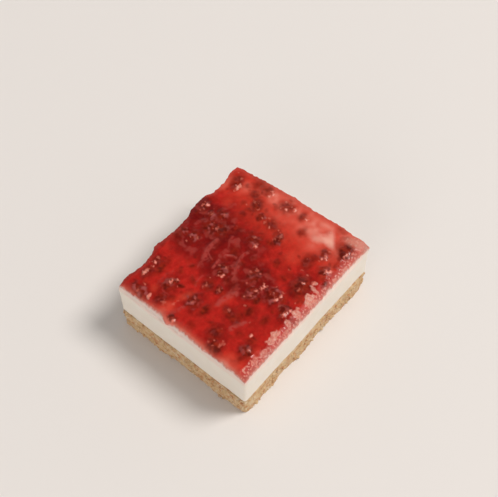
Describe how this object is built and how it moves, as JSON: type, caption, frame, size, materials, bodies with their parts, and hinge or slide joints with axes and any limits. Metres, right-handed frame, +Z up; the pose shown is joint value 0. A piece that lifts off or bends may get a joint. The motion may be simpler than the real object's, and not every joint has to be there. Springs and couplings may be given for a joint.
{
  "type": "cheesecake slice",
  "caption": "Square-cut slice of chilled cheesecake: a pressed biscuit base, a thick layer of cream cheese and a thin red jelly with crushed berries set in it.",
  "frame": {"origin": "under the middle of the slice, on the surface it stands on", "axes": "+X along the longer cut side, -Y out of the cut face towards the viewer's right, +Z up through the layers"},
  "size_m": [0.0774, 0.0668, 0.0293],
  "materials": {
    "biscuit": "rough dry crumb",
    "cream": "soft satin, knife-smoothed",
    "jelly": "wet gloss"
  },
  "bodies": {
    "root": {"biscuit_base": "biscuit", "cream_cheese": "cream", "berry_jelly": "jelly"}
  },
  "joints": []
}
